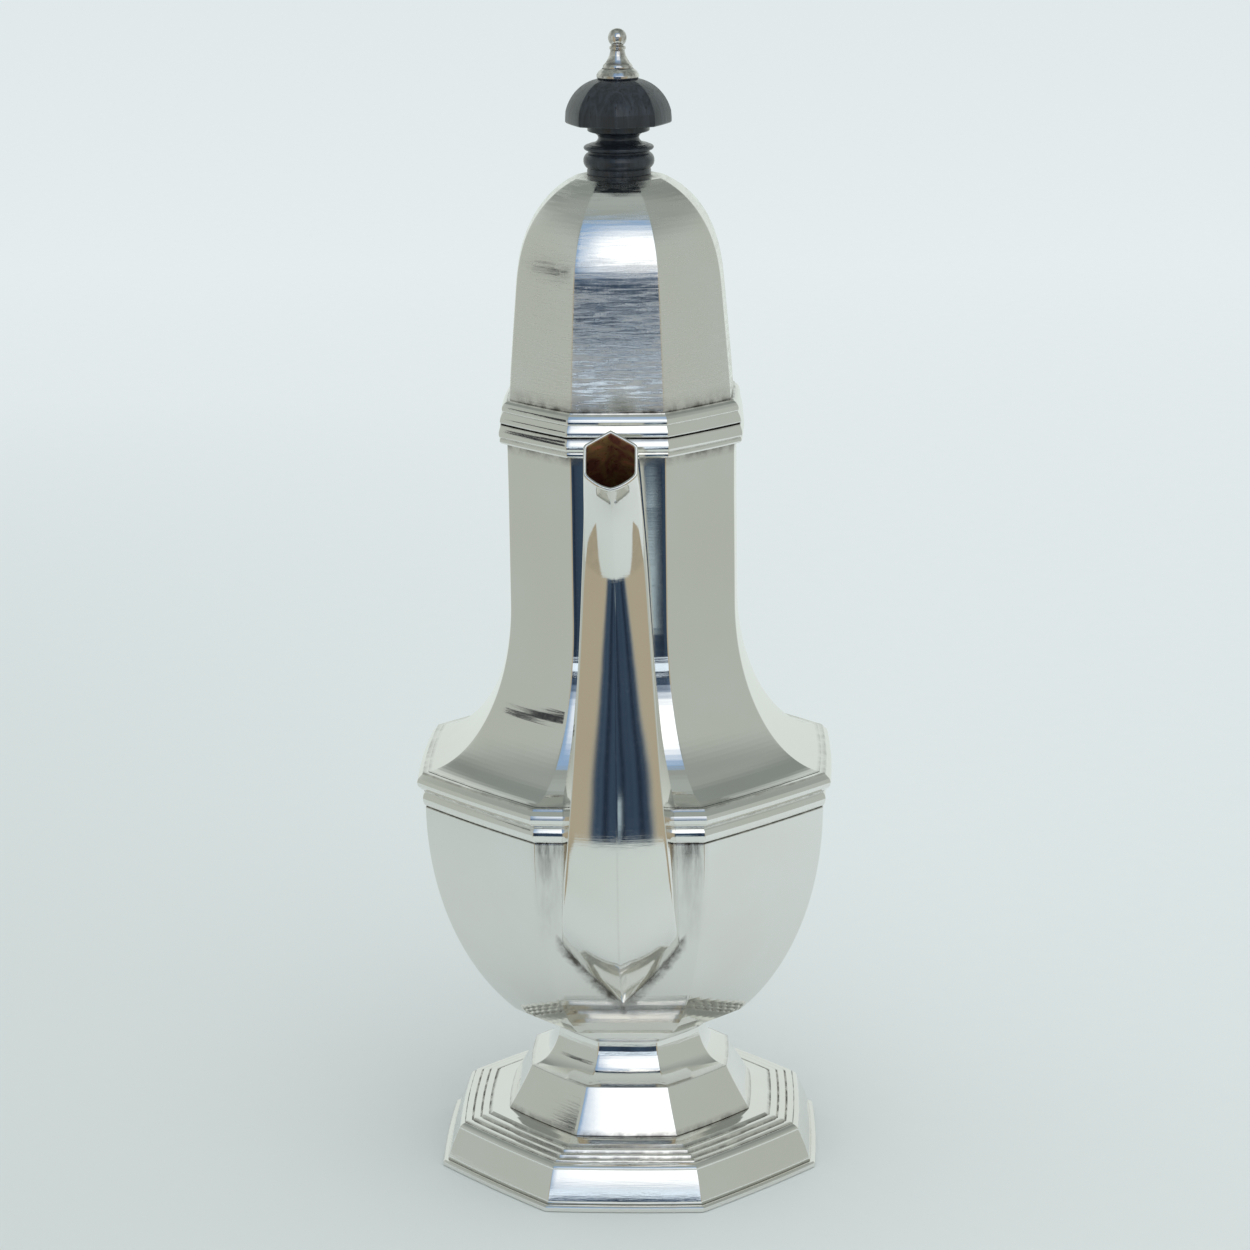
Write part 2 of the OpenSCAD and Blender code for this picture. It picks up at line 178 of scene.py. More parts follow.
def circle(radius, count=72):
    """A round ring."""
    turns = [2 * math.pi * i / count for i in range(count)]
    return [(radius * math.cos(a), radius * math.sin(a)) for a in turns]


def mark_at(marks, i, j):
    """Tarnish of a point, from values for each point or for each row."""
    if marks is None:
        return 0.0
    return marks[i][j] if isinstance(marks[i], (list, tuple)) else marks[i]


def skin(name, rows, marks=None, loop=False):
    """A mesh object through rows of points. A row of one point is a pole."""
    bm = bmesh.new()
    layer = bm.verts.layers.float.new("tarnish")
    grid = []
    for i, row in enumerate(rows):
        line = []
        for j, p in enumerate(row):
            v = bm.verts.new(p)
            v[layer] = mark_at(marks, i, j)
            line.append(v)
        grid.append(line)
    pairs = list(zip(grid, grid[1:]))
    if loop:
        pairs.append((grid[-1], grid[0]))
    for a, b in pairs:
        n = max(len(a), len(b))
        for j in range(n):
            k = (j + 1) % n
            if len(a) == 1:
                bm.faces.new((a[0], b[k], b[j]))
            elif len(b) == 1:
                bm.faces.new((a[j], a[k], b[0]))
            else:
                bm.faces.new((a[j], a[k], b[k], b[j]))
    bmesh.ops.recalc_face_normals(bm, faces=bm.faces)
    mesh = bpy.data.meshes.new(name)
    for face in bm.faces:
        face.smooth = True
    bm.to_mesh(mesh)
    bm.free()
    piece = bpy.data.objects.new(name, mesh)
    bpy.context.scene.collection.objects.link(piece)
    return piece


def spun(name, outline, ring, smudge=None):
    """Sweeps a closed outline round the axis; points on the axis become poles."""
    if outline[0] == outline[-1]:
        outline = outline[:-1]
    rows = []
    marks = []
    for r, z, tarnish in outline:
        points = [(x, y) for x, y in ring(r)] if r > 1e-6 else [(0, 0)]
        rows.append([(x, y, z) for x, y in points])
        marks.append([tarnish + (smudge(x, y, z) if smudge else 0.0) for x, y in points])
    open_ended = len(rows[0]) == 1 and len(rows[-1]) == 1
    return skin(name, rows, marks, loop=not open_ended)


def shell(name, node, outer, inner, edge=EDGE, crown=CROWN, soft=SOFT, smudge=None):
    """An octagonal piece from its outer outline, upwards, and its inner one, downwards."""
    outline = softened(list(outer) + list(inner), soft)
    return spun(name, seated(outline, node), lambda r: octagon(r, edge * MM, crown), smudge)


# ---------------------------------------------------------------- materials


class Nodes:
    """Short names for building a node tree."""

    def __init__(self, name):
        self.material = bpy.data.materials.new(name)
        self.material.use_nodes = True
        self.tree = self.material.node_tree
        self.tree.nodes.clear()
        self.out = self.add("ShaderNodeOutputMaterial")

    def add(self, kind, **settings):
        node = self.tree.nodes.new(kind)
        for key, value in settings.items():
            setattr(node, key, value)
        return node

    def link(self, a, b):
        self.tree.links.new(a, b)

    def place(self, scale):
        """Object coordinates stretched by a scale."""
        coords = self.add("ShaderNodeTexCoord")
        mapping = self.add("ShaderNodeMapping")
        mapping.inputs["Scale"].default_value = scale
        self.link(coords.outputs["Object"], mapping.inputs["Vector"])
        return mapping.outputs["Vector"]

    def axes(self):
        """X, Y and Z of the object's coordinates."""
        coords = self.add("ShaderNodeTexCoord")
        split = self.add("ShaderNodeSeparateXYZ")
        self.link(coords.outputs["Object"], split.inputs["Vector"])
        return split.outputs

    def noise(self, scale, detail=4.0, rough=0.55, stretch=(1, 1, 1), distortion=0.0):
        node = self.add("ShaderNodeTexNoise")
        node.inputs["Scale"].default_value = scale
        node.inputs["Detail"].default_value = detail
        node.inputs["Roughness"].default_value = rough
        node.inputs["Distortion"].default_value = distortion
        self.link(self.place(stretch), node.inputs["Vector"])
        return node.outputs["Fac"]

    def ramp(self, fac, stops):
        node = self.add("ShaderNodeValToRGB")
        ends = node.color_ramp.elements
        ends[0].position, ends[0].color = stops[0][0], (*stops[0][1], 1)
        ends[1].position, ends[1].color = stops[-1][0], (*stops[-1][1], 1)
        for position, colour in stops[1:-1]:
            ends.new(position).color = (*colour, 1)
        self.link(fac, node.inputs["Fac"])
        return node.outputs["Color"]

    def range(self, value, low, high, new_low, new_high):
        node = self.add("ShaderNodeMapRange")
        limits = {"From Min": low, "From Max": high, "To Min": new_low, "To Max": new_high}
        for name, number in limits.items():
            node.inputs[name].default_value = number
        self.link(value, node.inputs["Value"])
        return node.outputs["Result"]

    def math(self, operation, *values):
        node = self.add("ShaderNodeMath", operation=operation)
        node.use_clamp = operation in ("MULTIPLY", "MAXIMUM")
        for socket, value in zip(node.inputs, values):
            if isinstance(value, (int, float)):
                socket.default_value = value
            else:
                self.link(value, socket)
        return node.outputs["Value"]

    def mix(self, fac, a, b):
        node = self.add("ShaderNodeMix", data_type="RGBA")
        self.link(fac, node.inputs[0])
        for socket, value in ((node.inputs[6], a), (node.inputs[7], b)):
            if isinstance(value, tuple):
                socket.default_value = (*value, 1)
            else:
                self.link(value, socket)
        return node.outputs[2]

    def bump(self, height, distance, strength=1.0, below=None):
        node = self.add("ShaderNodeBump")
        node.inputs["Distance"].default_value = distance
        node.inputs["Strength"].default_value = strength
        self.link(height, node.inputs["Height"])
        if below is not None:
            self.link(below, node.inputs["Normal"])
        return node.outputs["Normal"]

    def attribute(self, name):
        return self.add("ShaderNodeAttribute", attribute_name=name).outputs["Fac"]

    def surface(self, **values):
        shader = self.add("ShaderNodeBsdfPrincipled")
        for name, value in values.items():
            socket = shader.inputs[name.replace("_", " ")]
            if isinstance(value, bpy.types.NodeSocket):
                self.link(value, socket)
            elif isinstance(value, tuple):
                socket.default_value = (*value, 1)
            else:
                socket.default_value = value
        self.link(shader.outputs["BSDF"], self.out.inputs["Surface"])
        return self.material


def silver(name, polish=0.04, ripple=0.00005, scuff=1.0, brush=0.000005, base=SILVER, smoke=0.0,
           streaks=None, joint=None, run=(1, 1, 1)):
    """Hand-polished silver: slow ripples from the hammer, fine scratches, tarnish in the grooves."""
    n = Nodes(name)
    slow = n.noise(55, detail=2, rough=0.5)
    haze = n.noise(320, detail=5, rough=0.6, stretch=run)
    grit = n.noise(900, detail=6, rough=0.7)
    lines = n.noise(1, detail=6, rough=0.65, stretch=(130, 130, 2300), distortion=0.5)
    cross = n.noise(1, detail=5, rough=0.6, stretch=(2600, 1400, 420), distortion=0.6)
    stain = n.math("MULTIPLY", n.attribute("tarnish"), n.range(haze, 0.36, 0.62, 0.35, 1.35))
    if smoke:
        stain = n.math("MAXIMUM", stain, n.range(n.noise(700, detail=5, rough=0.7), 0.42, 0.66, 0.0, smoke))
    if joint is not None:
        stain = n.math("MAXIMUM", stain, joint(n))
    film = n.range(n.noise(38, detail=3), 0.35, 0.7, 0.0, 1.0)
    clean = n.mix(film, base, (base[0] * 0.975, base[1] * 0.965, base[2] * 0.945))
    colour = n.mix(stain, clean, TARNISH)
    sheen = n.range(n.math("MULTIPLY", lines, cross), 0.15, 0.42, polish, polish + 0.06 * scuff)
    if streaks is not None:
        sheen = n.math("ADD", sheen, streaks(n))
    rough = n.math("ADD", sheen, n.math("MULTIPLY", stain, 0.35))
    normal = n.bump(slow, ripple)
    normal = n.bump(lines, brush * scuff, below=normal)
    normal = n.bump(grit, GRIT * scuff, below=normal)
    return n.surface(Base_Color=colour, Metallic=1.0, Roughness=rough, Normal=normal)


def wood(name):
    """Ebonised wood: blue-black stain, open grain along its length, waxed."""
    n = Nodes(name)
    grain = n.noise(1, detail=6, rough=0.6, stretch=(520, 520, 46), distortion=1.2)
    pores = n.noise(1, detail=3, rough=0.5, stretch=(1500, 1500, 130))
    cloud = n.noise(60, detail=3)
    pit = n.range(pores, 0.60, 0.72, 0.0, 1.0)
    tone = n.ramp(grain, [(0.3, EBONY), (0.62, (0.026, 0.034, 0.046)), (0.8, (0.042, 0.051, 0.064))])
    colour = n.mix(pit, tone, (0.006, 0.006, 0.007))
    rough = n.math("ADD", n.range(cloud, 0.3, 0.7, 0.24, 0.36), n.math("MULTIPLY", pit, 0.2))
    normal = n.bump(grain, 0.00006)
    normal = n.bump(pores, 0.00005, below=normal)
    return n.surface(Base_Color=colour, Roughness=rough, Normal=normal, Specular_IOR_Level=0.4,
                     Coat_Weight=0.22, Coat_Roughness=0.1)


def stained(name):
    """Inside of the spout: brown coffee stain over dull silver."""
    n = Nodes(name)
    patches = n.noise(210, detail=4, rough=0.6, distortion=0.8)
    specks = n.noise(900, detail=5)
    stops = [
        (0.3, (0.06, 0.03, 0.022)), (0.46, (0.22, 0.075, 0.05)),
        (0.58, (0.27, 0.18, 0.07)), (0.72, (0.48, 0.17, 0.10)),
    ]
    colour = n.ramp(patches, stops)
    rough = n.range(specks, 0.3, 0.7, 0.22, 0.5)
    return n.surface(Base_Color=colour, Metallic=0.15, Roughness=rough, Normal=n.bump(specks, 0.00003))


def steel(name):
    """Plain turned steel."""
    n = Nodes(name)
    rings = n.noise(1, detail=4, stretch=(900, 900, 5000))
    colour = n.ramp(rings, [(0.3, (0.42, 0.42, 0.41)), (0.7, (0.58, 0.58, 0.57))])
    rough = n.range(rings, 0.3, 0.7, 0.28, 0.45)
    return n.surface(Base_Color=colour, Metallic=1.0, Roughness=rough, Normal=n.bump(rings, 0.000004))


def rubbed(n):
    """Patches where polishing has left the surface less bright."""
    patches = n.noise(1, detail=4, stretch=(60, 60, 130), distortion=0.8)
    strokes = n.noise(1, detail=5, rough=0.6, stretch=(110, 110, 1500), distortion=0.8)
    low = n.range(n.axes()["Z"], 0.184, 0.206, 1.0, 0.45)
    scored = n.math("MULTIPLY", n.range(strokes, 0.42, 0.6, 0.0, 0.42), low)
    return n.math("ADD", n.range(patches, 0.42, 0.68, 0.0, 0.08), scored)


# The line of the V on the bowl's front, in metres: height = V_FOOT + V_SLOPE * |x| ** V_POWER
V_SLOPE, V_POWER, V_FOOT = 1.63, 1.05, 0.0468


def spout_joint(n):
    """Tarnish on the bowl just under the V where the spout is soldered on."""
    at = n.axes()
    across = n.math("ABSOLUTE", at["X"])
    line = n.math("MULTIPLY_ADD", n.math("POWER", across, V_POWER), V_SLOPE, V_FOOT)
    below = n.math("SUBTRACT", line, at["Z"])
    ragged = n.range(n.noise(900, detail=4), 0.3, 0.7, -0.0007, 0.0007)
    near = n.range(n.math("ADD", below, ragged), 0.0002, 0.0034, 1.0, 0.0)
    touching = n.range(below, -0.002, -0.001, 0.0, 1.0)
    ahead = n.range(at["Y"], -0.004, -0.002, 1.0, 0.0)
    inside = n.range(across, 0.0135, 0.015, 1.0, 0.0)
    patch = n.range(n.noise(260, detail=4, rough=0.6), 0.36, 0.6, 0.35, 0.9)
    mask = n.math("MULTIPLY", n.math("MULTIPLY", near, touching), n.math("MULTIPLY", ahead, inside))
    return n.math("MULTIPLY", mask, patch)


polished = silver("polished_silver")
bowled = silver("bowl_silver", joint=spout_joint, run=(2.2, 2.2, 0.35), base=(0.84, 0.835, 0.81))
domed = silver("dome_silver", scuff=1.5, brush=0.00001, streaks=rubbed)
footed = silver("foot_silver", scuff=1.5, brush=0.000008)
fitted = silver("fitted_silver", polish=0.06, ripple=0.00001, smoke=0.14)
small = silver("small_silver", polish=0.06, ripple=0.00001, scuff=1.2, base=(0.80, 0.785, 0.76),
               smoke=0.62)
ebony = wood("ebonised_wood")
brown = stained("spout_inside")
fixings = steel("steel_fixings")


def finish(piece, body, material, slot, *nodes):
    """Gives a piece its material and body, and lets it stand for its CAD nodes."""
    piece.data.materials.append(material)
    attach(piece, body)
    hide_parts(*nodes)
    return piece


def silver_shell(name, node, outer, inner, body, material, **shape):
    """A finished octagonal piece of silver that stands for one CAD node."""
    return finish(shell(name, node, outer, inner, **shape), body, material, "polished_silver", node)


# ---------------------------------------------------------------- foot and pedestal
DARK = 0.6            # tarnish in the grooves between the steps

flange = [(44.2, 0.0), (44.5, 0.25), (44.5, 1.15), (44.15, 1.5), (40.5, 1.5), (40.5, 0.0)]
silver_shell("foot_flange_silver", "foot_flange", flange, [flange[0]], "pot", footed, soft=0.05)

skirt = arc(-3.92, -13.01, 50, 50, 17, 26, 10) + arc(39.17, 7.99, 2.2, 2.2, 27, 75, 6)[1:]
STEP_R, STEP_Z = 39.7, 10.4
STEP_PITCH = 2.0
steps = [(STEP_R + 0.06, STEP_Z - 0.16, DARK), (STEP_R - 0.1, STEP_Z - 0.2, DARK)]
for i in range(3):
    r = STEP_R - STEP_PITCH * i
    z = STEP_Z + 0.18 + 0.46 * i
    steps += [(r - 0.24, z - 0.03), (r - 0.9, z + 0.06), (r - 1.62, z)]
    steps += [(r - 1.70, z - 0.26, DARK), (r - 1.86, z - 0.22, DARK)]
plate = [(33.05, 11.92), (31.0, 11.98), (29.2, 12.12), (27.9, 12.3)]
foot_in = [(27.9, 11.2), (33.2, 10.6), (37.2, 9.2), (39.2, 8.4), (41.2, 6.4), (42.2, 4.3), (41.8, 1.7)]
silver_shell("foot_silver", "foot", skirt + steps + plate, foot_in + [skirt[0]], "pot", footed, soft=0.1)

lower = []
for i in range(9):
    t = i / 8
    lower.append((23.5 + 5.4 * (1 - t) ** 1.1, 12.3 + 9.9 * t, 0.45 if i == 0 else 0.0))
lower_in = [(22.4, 22.2), (24.0, 17.5), (27.5, 12.3)]
silver_shell("pedestal_lower_silver", "pedestal_lower", lower, lower_in + [lower[0]], "pot", footed,
             crown=0.04)

upper = [(23.5, 22.2, 0.2)] + arc(23.5, 32.2, 6.8, 9.9, 262, 188, 12) + [(16.8, 31.0, 0.5)]
upper_in = [(15.7, 31.0), (15.7, 25.2), (21.0, 22.2)]
silver_shell("pedestal_upper_silver", "pedestal_upper", upper, upper_in + [upper[0]], "pot", footed,
             crown=0.04)

# ---------------------------------------------------------------- body
bowl_curve = arc(0, 89.5, 46.2, 64.5, -56, 0, 30)
bowl = [(16.8, 31.0, 0.5), (17.15, 31.25, 0.1), (18.2, 32.2)] + bowl_curve[1:]
bowl += [(46.2, 89.8, 0.35), (45.3, 89.8, 0.5), (45.3, 93.9)]
bowl_in = [p for p in reversed(inset(bowl_curve, WALL)) if p[1] < 86.5]
bowl_in = [(44.2, 93.9), (44.2, 88.5)] + bowl_in + [(16.8, 33.2), (0, 33.2)]

# Smudges beside the spout, in millimetres: middle and half width, then lowest height and the run above it
SMUDGE_X, SMUDGE_HALF = 16.2, 3.2
SMUDGE_Z, SMUDGE_RUN = 66, 22


def beside_spout(x, y, z):
    """Smudges of tarnish on the bowl's front facet, running down from the belt beside the spout."""
    if y > 0 or abs(y) < abs(x) * 2.2:
        return 0.0
    across = 1 - abs(abs(x) / MM - SMUDGE_X) / SMUDGE_HALF
    down = min(max((z / MM - SMUDGE_Z) / SMUDGE_RUN, 0), 1)
    return 0.8 * max(across, 0) * (0.3 * down ** 0.5 + 0.75 * down ** 5)


def strainer_window(piece):
    """Cuts the six-sided window in the bowl's front wall that the strainer sits in."""
    low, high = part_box("strainer")
    centre = Vector((0, (low[1] + high[1]) / 2, (low[2] + high[2]) / 2))
    lean = math.radians(11.5)
    up = Vector((0, -math.sin(lean), math.cos(lean)))
    across = Vector((1, 0, 0))
    half_w = high[0]
    half_h = half_w * 28 / 19
    corners = [
        (0, -half_h), (half_w, -half_h / 2), (half_w, half_h / 2),
        (0, half_h), (-half_w, half_h / 2), (-half_w, -half_h / 2),
    ]
    corners = [centre + across * u + up * v for u, v in corners]
    planes = []
    for a, b in zip(corners, corners[1:] + corners[:1]):
        planes.append((a, (b - a).cross(across.cross(up)).normalized()))
    bm = bmesh.new()
    bm.from_mesh(piece.data)

    def near():
        """Faces of the bowl's front round the window."""
        found = []
        for face in bm.faces:
            off = face.calc_center_median() - centre
            if off.y < 0.012 and abs(off.x) < 0.0185 and abs(off.z) < 0.02:
                found.append(face)
        return found

    def within(face):
        middle = face.calc_center_median()
        return all((middle - point).dot(normal) < 0 for point, normal in planes)

    for point, normal in planes:
        faces = near()
        parts = set(faces) | {e for f in faces for e in f.edges} | {v for f in faces for v in f.verts}
        bmesh.ops.bisect_plane(bm, geom=list(parts), dist=1e-7, plane_co=point, plane_no=normal)
    inside = [face for face in near() if within(face)]
    bmesh.ops.delete(bm, geom=inside, context="FACES")
    made = bmesh.ops.bridge_loops(bm, edges=[e for e in bm.edges if e.is_boundary])
    for face in made["faces"]:
        face.smooth = False
    bmesh.ops.recalc_face_normals(bm, faces=bm.faces)
    bm.to_mesh(piece.data)
    bm.free()


bowl_piece = shell("bowl_silver", "bowl", [(0, 31.0)] + bowl, bowl_in, edge=1.1, smudge=beside_spout)
strainer_window(bowl_piece)
finish(bowl_piece, "pot", bowled, "polished_silver", "bowl")

belt = [(45.3, 89.8), (45.95, 89.8, 0.7)]
belt += arc(45.85, 91.75, 0.95, 1.75, -62, 66, 7)
belt += [(46.5, 93.6, 0.3), (46.5, 93.8, 0.3)]
belt += [(47.1, 94.25), (47.85, 95.0), (48.0, 95.9), (47.75, 96.75), (46.9, 97.6)]
belt += [(46.7, 97.85, 0.3), (46.55, 98.1, 0.3), (45.3, 98.1)]
silver_shell("belt_moulding_silver", "belt_moulding", belt, [belt[0]], "pot", polished, edge=0.8, soft=0.1)

shoulder = arc(47, 136, 20.95, 37.9, 266, 180, 34)
neck = [(45.3, 94.0), (45.3, 98.1, 0.3), (45.6, 98.16, 0.3)] + shoulder[1:]
neck += [(26.0, 162), (26.05, 171.0), (26.05, 172.3, 0.25), (26.05, 173.4, 0.65), (26.05, 177.85)]
neck_in = [p for p in reversed(inset([(r, z) for r, z, _ in shoulder], WALL)) if p[0] < 43.1]
neck_in = [(24.95, 177.85), (24.95, 162)] + neck_in + [(44.2, 97.0), (44.2, 94.0)]
silver_shell("neck_silver", "shoulder_and_neck", neck, neck_in + [neck[0]], "pot", polished,
             edge=1.0, crown=0.036)

rim = [
    (26.05, 173.4), (26.75, 173.4, 0.6), (27.35, 173.6), (27.6, 174.0), (27.6, 174.45), (27.45, 174.75, 0.25),
    (27.45, 174.9, 0.25), (27.7, 175.1), (27.8, 175.6), (27.76, 176.2), (27.6, 176.8), (27.4, 177.4),
    (27.35, 177.78, 0.3), (27.2, 177.85, 0.95), (26.05, 177.85, 0.95),
]
silver_shell("rim_moulding_silver", "rim_moulding", rim, [rim[0]], "pot", polished, edge=0.7, soft=0.08)

# ---------------------------------------------------------------- lid
lid_flange = [
    (24.55, 178.15, 0.95), (27.15, 178.15, 0.95), (27.4, 178.2, 0.4), (27.55, 178.5), (27.5, 179.0),
    (27.35, 179.6),
    (27.1, 180.2), (26.88, 180.65), (26.84, 180.8, 0.2), (27.0, 181.05), (27.05, 181.5), (26.9, 182.1),
    (26.5, 182.7, 0.05), (25.95, 183.1, 0.2), (25.85, 183.4, 0.5), (24.55, 183.4),
]
silver_shell("lid_flange_silver", "lid_flange", lid_flange, [lid_flange[0]], "lid", polished,
             edge=0.7, soft=0.08)

DOME_Z = 183.4
CROWN_Z, CROWN_H = 207.6, 27


def dome_r(z):
    """Half width across flats of the dome: tapering sides, then a full crown above CROWN_Z."""
    straight = 25.45 - 0.083 * (z - DOME_Z)
    flare = 0.16 * max(0, (194 - z) / 10.6) ** 2
    rise = min(max((z - CROWN_Z) / CROWN_H, 0), 1)
    return (straight - flare) * math.sqrt(1 - rise ** 2.75)


dome = [(dome_r(DOME_Z), DOME_Z, 0.65), (dome_r(184.5), 184.5, 0.22)]
dome += [(dome_r(z), z) for z in (187.0, 191.0, 197.0, 203.0)]
for i in range(24):
    z = CROWN_Z + CROWN_H * math.sin(math.radians(2.9 * i))
    dome.append((dome_r(z), z))
dome += [(7.4, 233.0, 0.4), (1.6, 233.0, 0.4)]
dome_in = [(1.6, 231.9), (6.5, 231.9), (9.0, 230.8), (14.4, 227.0), (18.6, 221.0), (21.2, 213.5)]
dome_in += [(22.3, 206.0), (24.2, 184.2), (24.35, DOME_Z)]
silver_shell("lid_dome_silver", "lid_dome", dome, dome_in + [dome[0]], "lid", domed, edge=1.0, crown=0.05)

# ---------------------------------------------------------------- knob
stem = [(1.5, 233.0), (7.2, 233.0), (7.2, 233.8)]
stem += arc(6.3, 236.0, 1.7, 1.9, -62, 66, 9)
stem += [(6.85, 238.0), (6.85, 238.15)] + arc(7.0, 238.9, 0.9, 0.6, -70, 80, 6)
stem += arc(7.0, 241.1, 2.4, 1.4, 262, 98, 14) + [(7.0, 242.7), (7.0, 244.3), (1.5, 244.3)]
stem_outline = seated(softened(stem + [stem[0]], 0.12), "knob_stem")
finish(spun("knob_stem_wood", stem_outline, circle), "lid", ebony, "ebonised_wood", "knob_stem")


def cornered(r):
    """Octagon turned to set its corners to the front and sides, from its corner radius."""
    c, s = math.cos(math.pi / SIDES), math.sin(math.pi / SIDES)
    return [(x * c - y * s, x * s + y * c) for x, y in octagon(r * math.cos(math.pi / SIDES), 0.5 * MM, 0.05)]


cap = [(1.5, 244.3), (11.9, 244.3), (12.2, 244.6), (12.2, 245.5)]
cap += arc(3.2, 244.5, 9.2, 9.8, 15, 80, 16) + [(4.6, 254.3), (1.5, 254.3)]
cap_low, cap_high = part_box("knob_cap")
cap_outline = [(r * MM, cap_low[2] + (z - 244.3) * MM, t) for r, z, t in softened(cap + [cap[0]], 0.25)]
finish(spun("knob_cap_wood", cap_outline, cornered), "lid", ebony, "ebonised_wood", "knob_cap")

finial = [
    (0, 254.3), (4.6, 254.3), (4.8, 254.6), (4.75, 255.1), (4.3, 255.8), (3.7, 256.3), (3.45, 256.5, 0.8),
    (3.3, 256.6, 0.6), (3.35, 256.9), (3.15, 257.3), (2.8, 257.6, 0.6), (2.3, 258.4), (1.85, 259.3),
    (1.65, 260.2, 0.3), (1.6, 260.5, 0.7), (1.85, 260.75), (1.85, 261.2), (1.45, 261.45, 0.7),
    (1.3, 261.6, 0.6),
]
finial += arc(0, 263.2, 2.1, 2.1, -48, 90, 18)
finial[-1] = (0, 265.3, 0)
low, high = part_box("finial")
finial_outline = [(r * MM, low[2] + (z - 254.3) * MM, t) for r, z, t in softened(finial, 0.08)]
finial_piece = spun("finial_silver", finial_outline, lambda r: circle(r, 56))
finish(finial_piece, "lid", small, "polished_silver", "finial")

# ---------------------------------------------------------------- the body's outer surface, to seat joints on
BODY = bowl[:-3] + [p for p in belt if p[0] > 45.5] + shoulder[1:] + [(26.0, 162), (26.05, 173.4)]


def body_r(z):
    """Half width across flats of the body at a height, in millimetres."""
    widest = 0.0
    for a, b in zip(BODY, BODY[1:]):
        if min(a[1], b[1]) <= z <= max(a[1], b[1]) and a[1] != b[1]:
            widest = max(widest, a[0] + (b[0] - a[0]) * (z - a[1]) / (b[1] - a[1]))
    return widest


def body_depth(p):
    """How far a point in millimetres lies inside the body's surface; negative outside."""
    out = max(p[0] * math.sin(k * math.pi / 4) - p[1] * math.cos(k * math.pi / 4) for k in range(SIDES))
    return body_r(p[2]) - out


# ---------------------------------------------------------------- spout
# Front ridge and back ridge as (y, z), and width, from the bowl to the mouth
STATIONS = [
    ((-30, 43.5), (-28, 102), 26),
    ((-43.4, 54.6), (-39, 105.5), 26.4),
    ((-54.6, 67.6), (-43.5, 110), 25),
    ((-56.2, 84), (-45.3, 114.5), 22.6),
    ((-56, 102), (-45.2, 120.5), 19.8),
    ((-54, 120), (-43.4, 130), 17.6),
    ((-52.2, 138), (-41.4, 143.5), 15.6),
    ((-52, 152), (-41.2, 156), 14.2),
    ((-54.8, 163.5), (-44.6, 169.5), 12.8),
    ((-59.5, 170.5), (-51.7, 179.6), 12.1),
    ((-64.3, 174.7), (-58.6, 186.5), 11.5),
]


def spline(values, t):
    """Smooth curve through a list of number tuples, t from 0 to 1."""
    last = len(values) - 1
    i = min(int(t * last), last - 1)
    u = t * last - i
    a, b, c, d = (values[min(max(k, 0), last)] for k in (i - 1, i, i + 1, i + 2))
    out = []
    for p, q, r, s in zip(a, b, c, d):
        second = (2 * p - 5 * q + 4 * r - s) * u * u
        third = (3 * q - p - 3 * r + s) * u ** 3
        out.append((2 * q + (r - p) * u + second + third) / 2)
    return out


STATION_VALUES = [(*front, *back, width) for front, back, width in STATIONS]


def spout_section(depth, half, vee=0.25, bow=0.25):
    """Right half of the spout's section as [x, distance behind the front ridge]."""
    front = depth * vee
    quarter = depth / 4
    turn = 0.55
    side = []
    for f in (0, 0.03, 0.12, 0.25, 0.4, 0.55, 0.7, 0.85, 1 - turn / half):
        side.append((f * half, front * (bow * f + (1 - bow) * f * f)))
    front_end = side[-1]
    corner = (half, front)
    run = (half, front + turn)
    for t in (0.35, 0.6, 0.8, 1.0):
        side.append(mixed(mixed(front_end, corner, t), mixed(corner, run, t), t))
    side.append((half * 1.004, depth / 2))
    corner = (half, 3 * quarter)
    start = (half, 3 * quarter - turn)
    end = (half - turn, 3 * quarter + quarter * turn / half)
    for t in (0, 0.25, 0.5, 0.75, 1.0):
        side.append(mixed(mixed(start, corner, t), mixed(corner, end, t), t))
    for f in (0.6, 0.3, 0.05, 0):
        side.append((half * f, depth - quarter * f * 0.99))
    return side


def spout_point(t, column, thickness):
    """A point of the spout in millimetres: t along it, column round it, thickness in from its outside."""
    fy, fz, by, bz, width = spline(STATION_VALUES, t)
    depth = math.hypot(by - fy, bz - fz)
    ay, az = (by - fy) / depth, (bz - fz) / depth
    fy, fz = fy + ay * thickness * 1.15, fz + az * thickness * 1.15
    vee = 0.16 + 0.09 * max(min((t - 0.6) / 0.35, 1), 0) + 0.06 * max(1 - t / 0.25, 0)
    bow = 0.25 + 0.6 * max(1 - t / 0.2, 0)
    right = spout_section(depth - 2.3 * thickness, width / 2 - thickness, vee, bow)
    count = len(right)
    side = 1 if column < count else -1
    x, d = right[column if side > 0 else 2 * count - 2 - column]
    return (side * x, fy + ay * d, fz + az * d)


SPOUT_COLUMNS = 2 * len(spout_section(10, 5)) - 2
SPOUT_ROWS = 72
SPOUT_WALL = 0.6
ROOT_SINK = 0.45      # how far the root goes into the body


def spout_root(column, thickness):
    """Where a line along the spout meets the body, as a share of the spout's length."""
    t = 1.0
    while t > 0 and body_depth(spout_point(t, column, thickness)) < ROOT_SINK:
        t -= 0.01
    low, high = max(t, 0), min(t + 0.01, 1)
    for _ in range(20):
        middle = (low + high) / 2
        if body_depth(spout_point(middle, column, thickness)) < ROOT_SINK:
            high = middle
        else:
            low = middle
    return high


